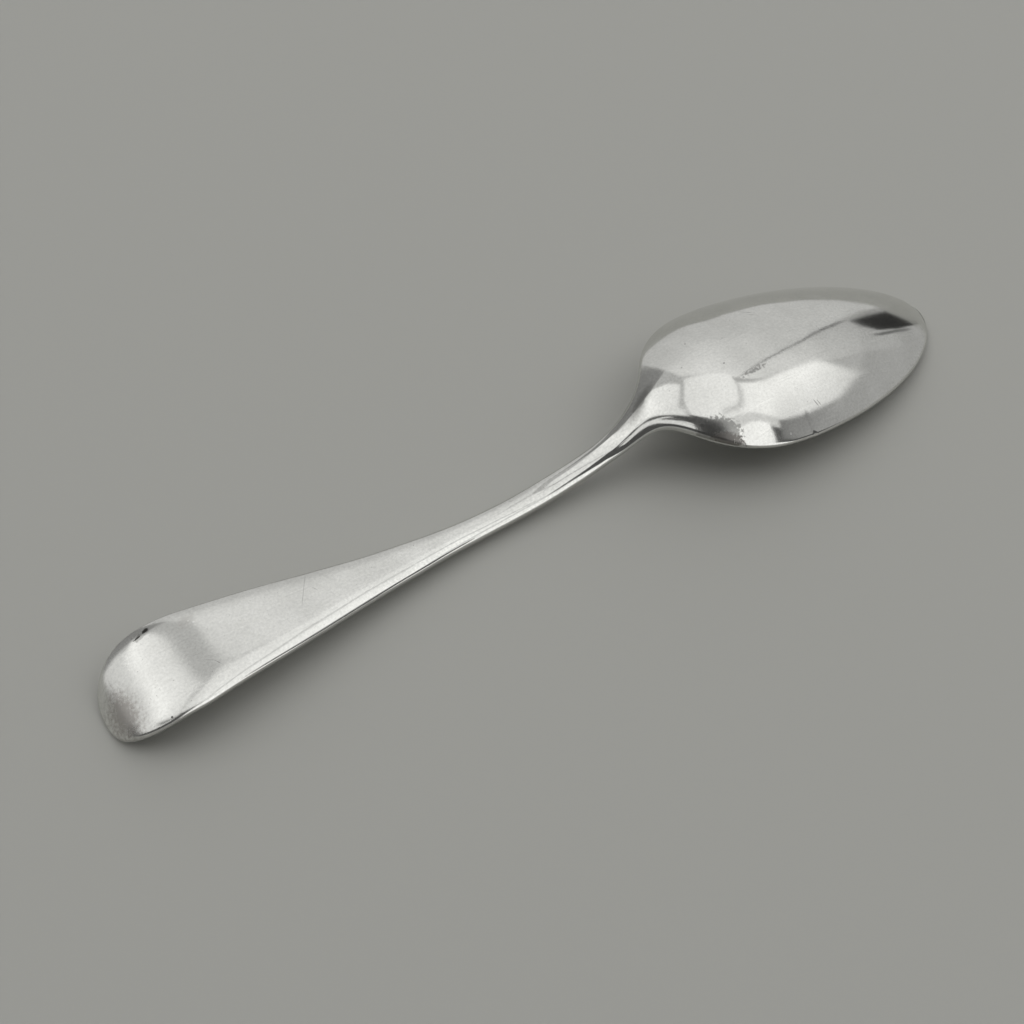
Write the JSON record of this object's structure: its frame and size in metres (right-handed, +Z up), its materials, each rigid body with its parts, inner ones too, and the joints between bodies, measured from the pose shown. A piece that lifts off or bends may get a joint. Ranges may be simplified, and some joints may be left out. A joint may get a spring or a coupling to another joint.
{
  "type": "teaspoon",
  "caption": "Slender silver-coloured teaspoon with a pointed egg-shaped bowl, a tapering handle and a rounded turned end, lying face down.",
  "frame": {"origin": "centre of the spoon's box, at table height: halfway along the spoon and on its middle line", "axes": "+X from the tip of the handle to the tip of the bowl, +Y across the spoon, +Z up; the spoon lies face down, so a half turn about X brings the hollow up"},
  "size_m": [0.135, 0.0284, 0.0126],
  "materials": {
    "silver": "worn silver or silver plate, satin from fine scratches, with small pits and tarnish"
  },
  "bodies": {
    "root": {"handle_end": "silver", "handle": "silver", "stem": "silver", "neck": "silver", "bowl": "silver"}
  },
  "joints": []
}
